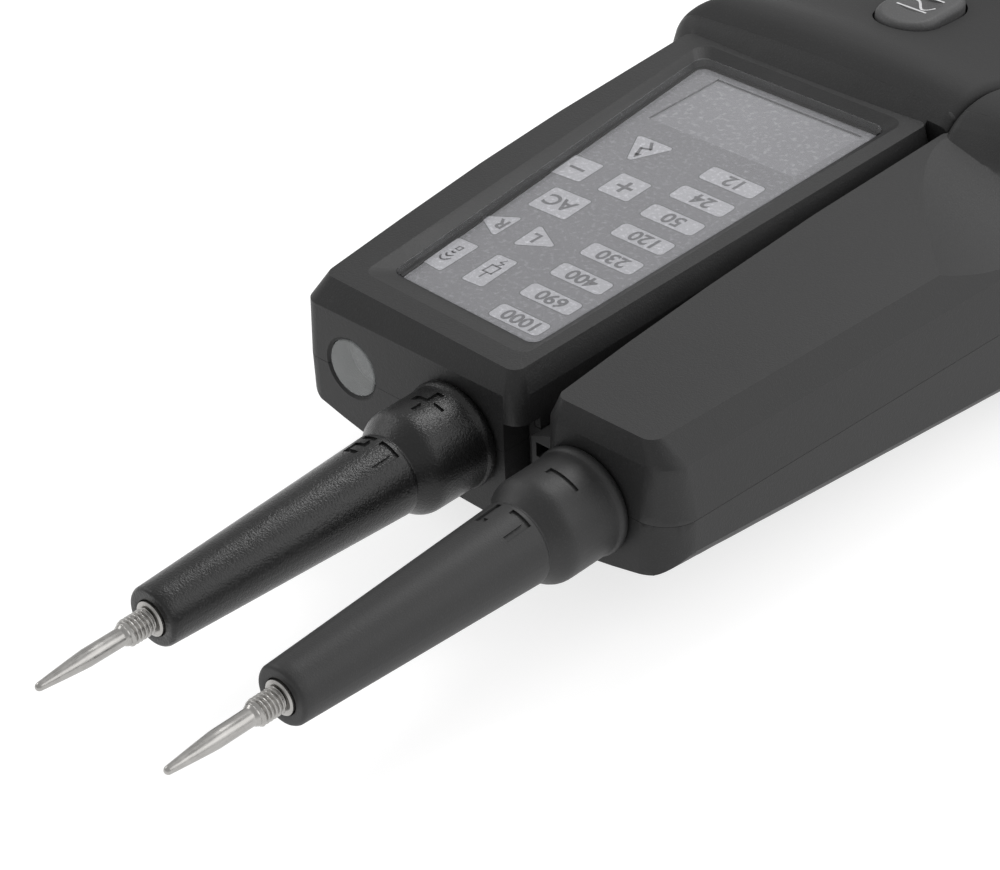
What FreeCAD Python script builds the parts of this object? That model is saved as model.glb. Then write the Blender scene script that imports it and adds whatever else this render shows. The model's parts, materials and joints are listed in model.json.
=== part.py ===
import FreeCAD, Part
import math
import os

os.makedirs("parts", exist_ok=True)
V = FreeCAD.Vector

# ---------------------------------------------------------------- driving dimensions (mm)
# Working frame: origin at the end of the main handle's needle, +X towards the second handle,
# +Y back towards the grips, +Z up out of the display. ORIGIN moves everything to the library frame.
PROBE_PITCH = 19.0          # needle to needle with the handles docked
ORIGIN = V(2.20, 129.27, -14.80)

FRONT_Y = 58.5              # front face of both handles
SHOULDER_Y = 131.0          # where the straight front housing runs into the guard
END_Y = 257.0               # rear end of the grips
PART_Z = 0.5                # parting plane between upper and lower shells
BEVEL_Z = 7.7               # lower edge of the top bevel
TOP_Z = 10.5                # flat top
WALL = 2.0                  # shell wall
SKIN = 1.5                  # soft sleeve thickness
BELLY_X = 4.75              # centre line of the shared rounded belly
BELLY_R = 95.0              # its radius
BELLY_Z0 = -8.85            # its lowest line at the front face
BELLY_SLOPE = -0.052        # and how it drops towards the guard
FIT = 0.30                  # gap between anything that moves past something else

CORE_R = 1.0                # needle core behind the stud
NEEDLE_R = 1.0
POINT_R = 0.48
STUD_R = 1.5                # M3 adaptor thread
STUD_Y0, STUD_Y1 = 10.8, 14.16
FERRULE_R = 1.98
NOSE_Y = 14.5
NOSE_R = 3.4
CONE_Y = 48.0
CONE_R = 4.85
COLLAR_Y = 50.5
COLLAR_R = 6.15
NECK_R = 3.9

WIN_Z = 9.9                 # window surface
WIN_T = 1.2
TORCH = (-16.2, 1.3)        # torch centre in X, Z
TORCH_R = 3.55

DOCK_END = 104.0            # closed end of the dock channel
RAIL_Y0, RAIL_Y1 = 59.6, 100.0
SLEEVE_Y0, SLEEVE_Y1 = 132.9, 240.0
SEAM = 0.02                 # half of the parting line gap
STEP_Y = 131.3              # where the main grip widens over the second handle's side
GRIP_X = 11.2               # inner side of the main grip
SCREW_R = 1.2
HEAD_R = 2.2

PCB_Z0, PCB_Z1 = 1.0, 2.6
TRAVEL = 1.0                # button stroke
BUTTONS_MAIN = [(-8.2, 151.0), (-8.2, 167.0)]   # load test, torch
BUTTON_SEC = (20.6, 151.0)
CELL_R, CELL_L = 5.15, 43.4
CELL_X = (-13.7, -2.7)
CELL_Y0, CELL_Z = 178.4, -2.4
DOOR = (-19.3, 3.1, 175.5, 232.0)               # x0, x1, y0, y1
DOOR_SCREW = (-8.1, 228.6)
BUSH_MAIN_X, BUSH_SEC_X = -4.0, 17.0
BUSH_Y0, BUSH_Y1 = 250.0, 259.02


# ---------------------------------------------------------------- helpers
def rpoly(pts, z, rad):
    """closed wire of straight runs and corner arcs at height z"""
    n = len(pts)
    info = []
    for i in range(n):
        p = V(pts[i][0], pts[i][1], z)
        a = V(pts[i - 1][0], pts[i - 1][1], z).sub(p)
        b = V(pts[(i + 1) % n][0], pts[(i + 1) % n][1], z).sub(p)
        a.normalize()
        b.normalize()
        ang = a.getAngle(b)
        r = rad[i]
        t = r / math.tan(ang / 2.0)
        bis = a.add(b)
        bis.normalize()
        c = p.add(V(bis).multiply(r / math.sin(ang / 2.0)))
        info.append((p.add(V(a).multiply(t)), c.sub(V(bis).multiply(r)), p.add(V(b).multiply(t))))
    edges = []
    for i in range(n):
        a, m, b = info[i]
        edges.append(Part.Arc(a, m, b).toShape())
        edges.append(Part.makeLine(b, info[(i + 1) % n][0]))
    return Part.Wire(edges)


def loft(wires, ruled):
    s = Part.makeLoft(wires, True, ruled)
    s = Part.Solid(s.Shells[0])
    if s.Volume < 0:
        s.reverse()
    return s


def slab(x0, x1, y0, y1, z0, z1):
    return Part.makeBox(x1 - x0, y1 - y0, z1 - z0, V(x0, y0, z0))


def rod(r, x, z, y0, y1):
    return Part.makeCylinder(r, y1 - y0, V(x, y0, z), V(0, 1, 0))


def post(r, x, y, z0, z1):
    return Part.makeCylinder(r, z1 - z0, V(x, y, z0), V(0, 0, 1))


def turned(profile, x, z):
    """solid of revolution about the line through (x, z) along Y from (y, r) pairs"""
    pts = [V(x + r, y, z) for y, r in profile]
    pts = [V(x, profile[0][0], z)] + pts + [V(x, profile[-1][0], z)]
    clean = [pts[0]]
    for p in pts[1:]:
        if p.sub(clean[-1]).Length > 1e-6:
            clean.append(p)
    wire = Part.makePolygon(clean + [clean[0]])
    return Part.Face(wire).revolve(V(x, 0, z), V(0, 1, 0), 360)


def prism(pts, z0, z1, r):
    """rounded plan outline pulled up from z0 to z1"""
    rad = r if isinstance(r, (list, tuple)) else [r] * len(pts)
    return Part.Face(rpoly(pts, z0, rad)).extrude(V(0, 0, z1 - z0))


def belly(y, x, main=True):
    """height of the belly: a shallow arc that drops towards the guard; the second handle's arc also moves outwards"""
    c = BELLY_X if main else BELLY_X + 0.12 * (y - FRONT_Y)
    return BELLY_Z0 + BELLY_SLOPE * (y - FRONT_Y) + BELLY_R - math.sqrt(BELLY_R * BELLY_R - (x - c) ** 2)


def fuse(a, *others):
    s = a
    for o in others:
        s = s.fuse(o)
    return s.removeSplitter()


def one(shape):
    """largest solid of a boolean result"""
    sol = sorted(shape.Solids, key=lambda s: -s.Volume)
    return sol[0]


def solids_over(shape, vol):
    return [s for s in shape.Solids if s.Volume > vol]


# ---------------------------------------------------------------- front housings
def levels(main, d):
    """plan outlines of a front housing, bottom to top, pulled in by d"""
    f = FRONT_Y
    out = []
    if main:
        rows = [(-18.0, [(-23.15, f + .2), (9.2, f + .2), (9.2, SHOULDER_Y), (-30.0, SHOULDER_Y),
                         (-28.15, 105.0), (-26.75, 90.0), (-24.9, 75.0)], 2.0, 2.0),
                (PART_Z, [(-23.6, f), (9.5, f), (9.5, SHOULDER_Y), (-30.45, SHOULDER_Y),
                          (-28.6, 105.0), (-27.2, 90.0), (-25.35, 75.0)], 2.1, 2.1),
                (BEVEL_Z, [(-23.35, f + .1), (9.2, f + .1), (9.2, SHOULDER_Y), (-30.2, SHOULDER_Y),
                           (-28.4, 105.0), (-27.0, 90.0), (-25.1, 75.0)], 2.0, 2.0),
                (TOP_Z, [(-21.95, f + 2.2), (8.15, f + 1.2), (8.2, SHOULDER_Y), (-29.0, SHOULDER_Y),
                         (-27.4, 105.0), (-25.95, 90.0), (-24.0, 75.0)], 1.5, 1.4)]
        for z, p, ra, rb in rows:
            q = [(p[0][0] + d, p[0][1] + d), (p[1][0] - d, p[1][1] + d), (p[2][0] - d, p[2][1]), (p[3][0] + d, p[3][1])]
            q += [(a + d, b) for a, b in p[4:]]
            k = max(0.4, 1 - d / 4.0)
            out.append((z, q, [ra * k, rb * k, 1.0, 1.0, 30.0, 30.0, 30.0]))
    else:
        rows = [(-18.0, [(13.2, f + .2), (30.3, f + .2), (34.0, SHOULDER_Y), (10.45, SHOULDER_Y),
                         (10.5, 106.0), (11.1, 86.0), (12.0, 72.0)], 2.0, 4.6),
                (PART_Z, [(12.85, f), (30.65, f), (34.35, SHOULDER_Y), (10.14, SHOULDER_Y),
                          (10.2, 106.0), (10.8, 86.0), (11.7, 72.0)], 2.1, 4.4),
                (BEVEL_Z, [(13.15, f + .1), (30.35, f + .1), (34.05, SHOULDER_Y), (10.4, SHOULDER_Y),
                           (10.45, 106.0), (11.1, 86.0), (12.0, 72.0)], 2.0, 3.2),
                (TOP_Z, [(14.35, f + .8), (27.75, f + .8), (31.4, SHOULDER_Y), (11.0, SHOULDER_Y),
                         (11.3, 106.0), (12.25, 86.0), (13.2, 72.0)], 1.3, 1.6)]
        for z, p, ra, rb in rows:
            q = [(p[0][0] + d, p[0][1] + d), (p[1][0] - d, p[1][1] + d), (p[2][0] - d, p[2][1]), (p[3][0] + d, p[3][1])]
            q += [(a + d, b) for a, b in p[4:]]
            k = max(0.4, 1 - d / 4.0)
            out.append((z, q, [ra * k, rb * k, 1.0, 1.0, 30.0, 30.0, 30.0]))
    return out


def keel(main, d, y0, y1):
    """solid whose underside is the shared belly with a rounded outer corner"""
    wires = []
    for y in (y0, y1):
        t = (y - FRONT_Y)
        if main:
            xo = -23.6 - 0.105 * t + d
            xi = 13.0
            s = 1
        else:
            xo = 30.65 + 0.051 * t - d
            xi = 6.0
            s = -1
        z = lambda x: belly(y, x, main) + d
        rc = max(0.8, (1.9 if main else 2.6) - 0.6 * d)
        a = V(xi, y, z(xi))
        mid = 0.5 * (xi + xo + s * rc)
        m = V(mid, y, z(mid))
        b = V(xo + s * rc, y, z(xo + s * rc))
        c = V(xo - s * 0.25, y, z(xo) + rc + 0.5)
        cm = V(xo + s * rc * 0.26, y, z(xo) + rc * 0.36)
        e = V(xo - s * 3.0, y, 34.0)
        g = V(xi, y, 34.0)
        wires.append(Part.Wire([Part.Arc(a, m, b).toShape(), Part.Arc(b, cm, c).toShape(),
                                Part.makeLine(c, e), Part.makeLine(e, g), Part.makeLine(g, a)]))
    return loft(wires, True)


def front(main, d):
    w = []
    for z, p, r in levels(main, d):
        if z == TOP_Z:
            z = TOP_Z - (0.6 + d if d else 0)
        if z == BEVEL_Z and d:
            z = BEVEL_Z - 0.5 * d
        w.append(rpoly(p, z, r))
    body = loft(w, True)
    body = body.common(keel(main, d, FRONT_Y - 6, SHOULDER_Y + 6))
    if not main:
        # thumb scoop in the outer top corner ahead of the guard
        u = V(-0.877, 0.480, 0.10)
        u.normalize()
        c = V(37.2, 118.5, TOP_Z - 2.6 + 45.0 - d)
        body = body.cut(Part.makeCylinder(45.0, 90.0, c.sub(V(u).multiply(30)), u))
    return body


# ---------------------------------------------------------------- guard and grips
# y, outer x, top z, bottom z, outer corner radius
MAIN_ROWS = [(114, -27.0, 8.6, -5.6, 3.4), (120, -28.4, 8.9, -7.6, 3.6), (125, -29.8, 9.2, -10.0, 3.8),
             (128.4, -30.9, 9.6, -11.7, 4.0), (129.8, -31.4, 10.0, -12.5, 4.0), (130.8, -31.9, 10.8, -13.2, 4.0),
             (131.6, -32.3, 11.7, -13.8, 3.8), (132.4, -32.6, 12.4, -14.2, 3.8), (133.4, -32.9, 13.0, -14.6, 4.2),
             (135, -32.9, 13.8, -14.8, 5.0), (138, -32.2, 14.2, -14.4, 6.0), (142, -30.4, 13.4, -13.3, 7.2),
             (150, -27.9, 12.3, -12.2, 8.4), (165, -26.2, 12.1, -12.0, 9.0), (188, -25.8, 12.6, -12.6, 9.4),
             (210, -25.9, 12.4, -12.4, 9.4), (230, -25.2, 11.2, -11.2, 9.0), (243, -23.4, 9.6, -9.6, 8.0),
             (251, -20.8, 7.6, -7.8, 6.6), (257, -16.8, 5.2, -5.4, 4.6)]
SEC_ROWS = [(108, 31.0, 6.6, -5.2, 2.6), (114, 32.3, 7.2, -7.0, 2.8), (120, 33.4, 8.0, -9.2, 3.2),
            (125, 34.6, 8.9, -11.2, 3.6), (128.2, 35.7, 9.9, -12.6, 3.8), (129.6, 36.3, 11.2, -13.4, 3.8),
            (130.6, 36.7, 12.4, -13.9, 3.8), (131.5, 37.0, 13.1, -14.3, 3.8), (133.0, 37.3, 13.8, -14.6, 4.2),
            (135, 37.3, 14.2, -14.8, 5.0), (138, 36.6, 14.2, -14.4, 6.0), (142, 34.9, 13.4, -13.3, 6.8),
            (150, 32.6, 12.3, -12.2, 7.4), (165, 31.2, 12.1, -12.0, 7.8), (188, 30.9, 12.6, -12.6, 8.0),
            (210, 31.0, 12.4, -12.4, 8.0), (230, 30.4, 11.2, -11.2, 7.8), (243, 28.8, 9.6, -9.6, 7.2),
            (251, 26.4, 7.6, -7.8, 6.2), (257, 23.2, 5.2, -5.4, 4.6)]


def ring(main, row, d, crown=0.7):
    y, xo, zt, zb, ro = row
    if main:
        xi = GRIP_X
        if y > 243:
            xi = GRIP_X - (y - 243) * 0.06
        x0, x1 = xo + d, xi - d
        rl, rr = ro, 1.5
    else:
        xi = GRIP_X + FIT
        if y > 243:
            xi = GRIP_X + FIT + (y - 243) * 0.06
        x0, x1 = xi + d, xo - d
        rl, rr = 1.5, ro
    zt, zb = zt - d, zb + d
    c = crown
    lim = 0.5 * (zt - zb) - c - 0.6
    rl, rr = min(lim, max(0.9, rl - d)), min(lim, max(0.9, rr - d))
    k = math.sqrt(0.5)

    def arc(a, m, b):
        return Part.Arc(V(a[0], y, a[1]), V(m[0], y, m[1]), V(b[0], y, b[1])).toShape()
    ztc = zt - c
    zbc = zb + c
    e = [arc((x0 + rl, ztc), (0.5 * (x0 + rl + x1 - rr), zt), (x1 - rr, ztc)),
         arc((x1 - rr, ztc), (x1 - rr + rr * k, ztc - rr + rr * k), (x1, ztc - rr)),
         Part.makeLine(V(x1, y, ztc - rr), V(x1, y, zbc + rr)),
         arc((x1, zbc + rr), (x1 - rr + rr * k, zbc + rr - rr * k), (x1 - rr, zbc)),
         arc((x1 - rr, zbc), (0.5 * (x0 + rl + x1 - rr), zb), (x0 + rl, zbc)),
         arc((x0 + rl, zbc), (x0 + rl - rl * k, zbc + rl - rl * k), (x0, zbc + rl)),
         Part.makeLine(V(x0, y, zbc + rl), V(x0, y, ztc - rl)),
         arc((x0, ztc - rl), (x0 + rl - rl * k, ztc - rl + rl * k), (x0 + rl, ztc))]
    return Part.Wire(e)


def rear(main, d, end=0.0):
    rows = MAIN_ROWS if main else SEC_ROWS
    if d > SKIN + 0.5:
        rows = [r for r in rows if not 128.5 < r[0] < 136]
    s = loft([ring(main, r, d) for r in rows], False)
    if main:
        s = s.cut(slab(7.9 - d, 60, 60, STEP_Y + d, -30, 30))
    else:
        # the first rows lie inside the front body and only lead the curve in
        s = s.common(slab(-60, 60, 118.0, 400, -40, 40))
    if end:
        s = s.common(slab(-60, 60, 60, END_Y - end, -30, 30))
    return s


def window_outline(g):
    return [(5.0 + g, 65.9 - g), (4.5 + g, 128.0 + g), (-24.45 - g, 128.0 + g), (-17.2 - g, 66.7 - g)]



# screws: x, y, underside of the head, tip of the thread
SCREWS_MAIN = [(-19.5, 72.5, -5.8, 6.5), (-9.8, 63.5, -7.4, 6.5), (-26.5, 131.8, -12.6, 5.0),
               (1.6, 132.0, -13.3, 5.0), (-12.0, 246.5, -8.0, 3.5)]
SCREWS_SEC = [(26.0, 66.8, -6.2, 6.5), (15.4, 104.0, -10.2, 5.5), (31.7, 132.4, -12.7, 5.0),
              (23.0, 246.5, -7.9, 3.5)]

P = {}


def housing(main):
    """outer form, inner room, rigid shell under the soft sleeve, and the sleeve itself"""
    f = front(main, 0)
    r = rear(main, 0)
    outer = one(f.fuse(r))
    fc = front(main, WALL)
    rc = rear(main, SKIN + WALL, 4.5)
    cavity = one(fc.common(slab(-60, 60, FRONT_Y + WALL, SHOULDER_Y, -30, 30)).fuse(rc))
    band = slab(-60, 60, SLEEVE_Y0, SLEEVE_Y1, -30, 30)
    core = rear(main, SKIN)
    sleeve = one(r.common(band).cut(core))
    body = one(outer.cut(band.cut(core)))
    return outer, cavity, body, sleeve


def screw(x, y, z0, z1):
    s = post(HEAD_R, x, y, z0, z0 + 1.3).fuse(post(SCREW_R, x, y, z0 + 1.3, z1))
    for a in (0, 90):
        b = slab(-1.5, 1.5, -0.28, 0.28, z0 - 1, z0 + 0.8)
        b.rotate(V(0, 0, 0), V(0, 0, 1), a)
        b.translate(V(x, y, 0))
        s = s.cut(b)
    return s


def stadium(x, y, a, b, z0, z1):
    """pill outline, a long in Y and b wide in X"""
    r = b / 2.0 - 0.06
    pts = [(x - b / 2.0, y - a / 2.0), (x + b / 2.0, y - a / 2.0), (x + b / 2.0, y + a / 2.0), (x - b / 2.0, y + a / 2.0)]
    return prism(pts, z0, z1, r)


def button(x, y, zs, style):
    """cap standing proud of a surface at height zs, with a retaining flange and a stem"""
    a, b = (13.0, 8.6) if style else (10.0, 8.6)
    cap = stadium(x, y, a, b, 7.4, zs + 1.3)
    top = [e for e in cap.Edges if e.BoundBox.ZMin > zs + 1.25]
    cap = cap.makeFillet(0.9, top)
    if style:
        dish = Part.makeSphere(9.0, V(x, y, zs + 1.3 + 8.55))
        cap = cap.cut(dish)
    flange = stadium(x, y, a + 2.4, b + 2.4, 6.7, 7.5)
    return cap.fuse(flange).fuse(post(1.5, x, y, 6.0, 6.8)).removeSplitter()


def split(body, cavity, screws, solid_u, solid_l):
    """upper and lower shells: the room is the cavity less its bosses, so each boss grows from its wall"""
    holes = []
    solid_u, solid_l = list(solid_u), list(solid_l)
    for x, y, z0, z1 in screws:
        solid_u.append(post(2.4, x, y, PART_Z - 2, 16.0))
        solid_l.append(post(2.9, x, y, -16.0, PART_Z + 2))
        holes.append(post(SCREW_R + 0.01, x, y, z0, z1 + 0.2))
        holes.append(post(HEAD_R + 0.15, x, y, -20.0, z0 + 1.3))
    u = body.common(slab(-60, 60, 40, 270, PART_Z + SEAM, 30)).cut(cavity.cut(solid_u))
    l = body.common(slab(-60, 60, 40, 270, -30, PART_Z - SEAM)).cut(cavity.cut(solid_l))
    return one(u).cut(holes), one(l).cut(holes)


outer_m, cav_m, shell_m, sleeve_m = housing(True)
outer_s, cav_s, shell_s, sleeve_s = housing(False)

# ---------------------------------------------------------------- main handle: shells
dock_block = slab(6.2, 12.0, FRONT_Y - 1, DOCK_END + 1.2, -6.0, 6.0)
door_boss = post(2.6, DOOR_SCREW[0], DOOR_SCREW[1], PART_Z - 2, 16.0)
up, lo = split(shell_m, cav_m, SCREWS_MAIN, [dock_block, door_boss], [dock_block])

channel = slab(7.2, 8.6, FRONT_Y - 3, DOCK_END, -4.2, 4.2).fuse([slab(8.5, 12.0, FRONT_Y - 3, DOCK_END, -2.8, 2.8), slab(7.2, 12.0, FRONT_Y - 3, 62.0, -6.2, 4.2)])
nose_hole = rod(NECK_R + 0.05, 0, 0, FRONT_Y - 2, FRONT_Y + 6)
torch_hole = rod(TORCH_R + 0.05, TORCH[0], TORCH[1], FRONT_Y - 1, FRONT_Y + 6)
torch_cone = turned([(FRONT_Y - 1.0, 4.3), (FRONT_Y + 0.0, 3.95), (FRONT_Y + 0.3, 3.72), (FRONT_Y + 0.31, TORCH_R + 0.06)], TORCH[0], TORCH[1])
bush_hole_m = rod(4.0, BUSH_MAIN_X, 0, BUSH_Y0 - 4, END_Y + 1)

win_pocket = prism(window_outline(0.06), WIN_Z - WIN_T, 12.0, [1.3, 1.6, 1.6, 1.4])
o = window_outline(0)
rim_low = rpoly([(x + dx, y + dy) for (x, y), (dx, dy) in zip(o, [(0.07, -0.1), (0.07, 0.07), (-0.07, 0.07), (-0.1, -0.1)])], WIN_Z - 0.15, [1.3, 1.6, 1.6, 1.4])
rim_top = rpoly([(x + dx, y + dy) for (x, y), (dx, dy) in zip(o, [(1.7, -3.6), (1.6, 2.0), (-1.6, 2.0), (-1.9, -3.5)])], TOP_Z + 0.12, [1.6, 1.9, 1.9, 1.8])
win_rim = loft([rim_low, rim_top], True)
win_through = prism([(x - 0.35, y + 0.35) if i == 0 else (x - 0.35, y - 0.35) if i == 1 else (x + 0.35, y - 0.35) if i == 2 else (x + 0.35, y + 0.35)
                     for i, (x, y) in enumerate(o)], 6.0, 12.0, [1.0, 1.2, 1.2, 1.0])
cuts_u = [win_pocket, win_rim, win_through, channel, nose_hole, torch_hole, torch_cone, bush_hole_m,
          post(SCREW_R + 0.3, DOOR_SCREW[0], DOOR_SCREW[1], -8, 1.0)]
holes_m = []
for i, (x, y) in enumerate(BUTTONS_MAIN):
    a, b = (13.0, 8.6) if i == 0 else (10.0, 8.6)
    holes_m.append(stadium(x, y, a + 2 * FIT, b + 2 * FIT, 7.0, 18.0))
door_gap = slab(DOOR[0] - FIT, DOOR[1] + FIT, DOOR[2] - FIT, DOOR[3] + FIT, -20, -6.6)
lens_seat = rod(4.2, TORCH[0], TORCH[1], FRONT_Y + WALL - 0.02, FRONT_Y + WALL + 2.0)
cuts_u.append(lens_seat)
P["main_upper_shell"] = one(up.cut(cuts_u + holes_m))
P["main_lower_shell"] = one(lo.cut([channel, nose_hole, torch_hole, torch_cone, lens_seat, bush_hole_m, door_gap]))
P["main_grip_sleeve"] = one(sleeve_m.cut(holes_m + [door_gap] + [post(HEAD_R + 0.3, a, b, -20.0, -2.0) for a, b, c, e in SCREWS_MAIN]))

# ---------------------------------------------------------------- battery door, cells, contacts
door = slab(DOOR[0], DOOR[1], DOOR[2], DOOR[3], -20, -6.8).common(outer_m).cut(cav_m)
door = one(door)
door = one(door.fuse(post(2.9, DOOR_SCREW[0], DOOR_SCREW[1], -11.0, -7.4)))
finger = slab(-13.2, -3.0, 179.0, 180.2, -14, -10.95)
grips = []
for k in range(4):
    grips.append(slab(-13.4, -2.8, 180.0 + 2.4 * k, 181.2 + 2.4 * k, -16.0, -11.75))
door = one(door.cut([post(SCREW_R + 0.05, DOOR_SCREW[0], DOOR_SCREW[1], -20, 0), post(HEAD_R + 0.15, DOOR_SCREW[0], DOOR_SCREW[1], -20, -9.6)] + grips))
P["battery_door"] = door
P["battery_door_screw"] = screw(DOOR_SCREW[0], DOOR_SCREW[1], -10.9, -0.5)

cells = []
for i, x in enumerate(CELL_X):
    c = rod(CELL_R, x, CELL_Z, CELL_Y0, CELL_Y0 + CELL_L)
    c = c.makeFillet(0.5, c.Edges)
    if i:
        c = c.fuse(rod(1.8, x, CELL_Z, CELL_Y0 + CELL_L - 0.2, CELL_Y0 + CELL_L + 0.8))
    else:
        c = c.fuse(rod(1.8, x, CELL_Z, CELL_Y0 - 0.8, CELL_Y0 + 0.2))
    cells.append(c)
P["aaa_cells"] = Part.makeCompound(cells)
y0, y1 = CELL_Y0, CELL_Y0 + CELL_L
front_plate = slab(-17.6, 1.2, y0 - 1.2, y0 - 0.8, -6.0, 1.2).fuse(turned([(y0 - 0.8, 3.4), (y0, 1.4)], CELL_X[1], CELL_Z))
rear_plate = slab(-17.6, 1.2, y1 + 0.8, y1 + 1.2, -6.0, 1.2).fuse(turned([(y1, 1.4), (y1 + 0.8, 3.4)], CELL_X[0], CELL_Z))
P["battery_contacts"] = Part.makeCompound([front_plate, rear_plate])
tray = slab(-19.2, 3.0, y0 - 2.2, y1 + 2.2, 3.2, 4.2).fuse([
    slab(-18.2, 2.0, y0 - 2.2, y0 - 1.2, -6.2, 3.2), slab(-18.2, 2.0, y1 + 1.2, y1 + 2.2, -6.2, 3.2),
    slab(-8.6, -7.8, y0 + 4, y1 - 4, -1.5, 3.2)]).removeSplitter()
P["battery_tray"] = tray

# ---------------------------------------------------------------- probes
def probe(x, tag):
    sl = turned([(15.0, 2.35), (14.5, 2.6), (14.5, 3.0), (14.62, 3.27), (14.9, 3.42), (CONE_Y - 0.25, CONE_R - 0.02), (CONE_Y, CONE_R - 0.2),
                 (CONE_Y + 0.15, CONE_R + 0.1), (COLLAR_Y, COLLAR_R - 0.1), (COLLAR_Y + 0.5, COLLAR_R), (58.3, COLLAR_R), (58.3, NECK_R),
                 (60.7, NECK_R), (60.7, 4.1), (62.4, 4.1), (62.4, 3.4), (64.0, 3.4)], x, 0)
    sl = sl.cut([rod(2.0, x, 0, 14.0, 20.0), rod(CORE_R + 0.04, x, 0, 19.0, 67.0)])
    P[tag + "_probe_sleeve"] = one(sl)
    P[tag + "_probe_ferrule"] = turned([(STUD_Y1, 1.7), (STUD_Y1 + 0.15, FERRULE_R), (19.8, FERRULE_R)], x, 0).cut(rod(CORE_R + 0.02, x, 0, 13, 21))
    P[tag + "_probe_tip"] = turned([(-0.48, 0.02), (-0.44, 0.19), (-0.33, 0.35), (-0.18, 0.445), (0.0, POINT_R), (6.0, NEEDLE_R), (10.55, NEEDLE_R),
                                    (STUD_Y0, 1.22), (STUD_Y0 + 0.3, STUD_R), (STUD_Y1 - 0.06, STUD_R), (STUD_Y1 - 0.02, CORE_R), (66.4, CORE_R)], x, 0)
    clip = rod(2.2, x, 0, 64.3, 66.2).cut(rod(CORE_R + 0.02, x, 0, 63, 68))
    tab = slab(x - 1, x + 1, 64.3, 66.2, 1.9, 3.0).fuse(slab(x - 1, x + 1, 64.3, 68.6, 2.62, 3.0))
    P[tag + "_probe_contact"] = one(clip.fuse(tab))


probe(0.0, "main")
probe(PROBE_PITCH, "second")

# ---------------------------------------------------------------- display stack
P["display_window"] = prism(window_outline(0.0), WIN_Z - WIN_T, WIN_Z, [1.25, 1.55, 1.55, 1.35])


def inset(d):
    s = [(-d, d), (-d, -d), (d, -d), (d, d)]
    return [(x + a, y + b) for (x, y), (a, b) in zip(window_outline(0), s)]


FILM_Z = WIN_Z - WIN_T
film = prism(inset(0.45), FILM_Z - 0.25, FILM_Z - 0.04, [0.9, 1.1, 1.1, 0.9])
LCD = (-21.2, 3.0, 112.8, 127.0)
film = film.cut(slab(LCD[0] + 0.8, LCD[1] - 0.8, LCD[2] + 0.6, LCD[3] - 0.6, 5, 12))
P["legend_film"] = one(film)
# light wells under each legend: x, y, width, depth
WELLS = [(-2.5 + 0.0453 * 5.43 * k, 107.8 - 5.43 * k, 5.2, 2.4) for k in range(8)]
WELLS += [(-15.5, 107.3, 3.4, 2.6), (-18.6, 98.6, 3.0, 3.4), (-11.4, 98.9, 3.0, 3.4), (-14.6, 91.3, 4.0, 3.6), (-16.9, 83.4, 2.6, 3.0),
          (-11.2, 83.6, 2.6, 3.0), (-15.7, 75.3, 1.9, 4.0), (-10.4, 75.2, 2.2, 4.4)]
guide = prism([(3.8, 67.0), (3.7, 111.8), (-21.5, 111.8), (-16.2, 68.0)], 3.6, FILM_Z - 0.29, 0.8)
guide = guide.cut([slab(x - w / 2, x + w / 2, y - d / 2, y + d / 2, 3.0, 9.0) for x, y, w, d in WELLS])
P["light_guide"] = one(guide)
P["indicator_leds"] = Part.makeCompound([slab(x - 1.0, x + 1.0, y - 0.6, y + 0.6, PCB_Z1, PCB_Z1 + 0.7) for x, y, w, d in WELLS])
lcd = slab(LCD[0], LCD[1], LCD[2], LCD[3], 5.6, FILM_Z - 0.29).fuse(slab(LCD[0] + 1, LCD[1] - 1, LCD[2] + 1, LCD[3] - 1, PCB_Z1, 5.6))
P["lcd_module"] = lcd.removeSplitter()

# ---------------------------------------------------------------- boards
pcb = prism([(5.2, 66.8), (5.2, 172.0), (-18.5, 172.0), (-21.6, 130.0), (-19.8, 78.0), (-18.6, 75.4), (-14.6, 69.6), (-12.2, 69.6), (-12.2, 66.8)], PCB_Z0, PCB_Z1, 0.8)
pcb = pcb.cut([post(3.1, x, y, -5, 5) for x, y, a, b in SCREWS_MAIN])
P["main_board"] = one(pcb)
P["main_board_parts"] = Part.makeCompound([slab(-14, -4, 138, 146, -0.4, PCB_Z0), slab(-2, 3, 116, 123, -0.6, PCB_Z0),
                                           slab(-12, -7, 92, 97, -0.5, PCB_Z0), slab(-18, -14.5, 104, 109, -0.9, PCB_Z0),
                                           slab(-4, -1.5, 84, 90, -1.1, PCB_Z0), slab(0.5, 3.0, 84, 90, -1.1, PCB_Z0)])
P["buzzer"] = post(5.6, -13.0, 159.0, -3.4, PCB_Z0).cut(post(1.0, -13.0, 159.0, -4, -1.5))
pcb_s = prism([(22.2, 66.8), (22.2, 71.8), (27.0, 71.8), (27.0, 172.0), (15.8, 172.0), (15.8, 124.0), (14.2, 110.0), (14.8, 76.0), (16.0, 72.5), (16.0, 66.8)], PCB_Z0, PCB_Z1, 0.8)
pcb_s = pcb_s.cut([post(3.1, x, y, -5, 5) for x, y, a, b in SCREWS_SEC])
P["second_board"] = one(pcb_s)
res = []
for x in (20.6, 25.0):
    body = rod(1.9, x, PCB_Z1 + 2.0, 84.0, 102.0)
    body = body.makeFillet(0.6, body.Edges)
    for ya, yb in ((81.6, 84.2), (101.8, 104.4)):
        body = body.fuse(slab(x - 0.4, x + 0.4, ya, yb, PCB_Z1 + 1.6, PCB_Z1 + 2.4))
    body = body.fuse(slab(x - 0.4, x + 0.4, 81.6, 82.4, PCB_Z1, PCB_Z1 + 2.4)).fuse(slab(x - 0.4, x + 0.4, 103.6, 104.4, PCB_Z1, PCB_Z1 + 2.4))
    res.append(body.removeSplitter())
P["series_resistors"] = Part.makeCompound(res)


def tact(x, y):
    return slab(x - 3, x + 3, y - 3, y + 3, PCB_Z1, 4.3).fuse(post(1.7, x, y, 4.2, 4.85))


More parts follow.
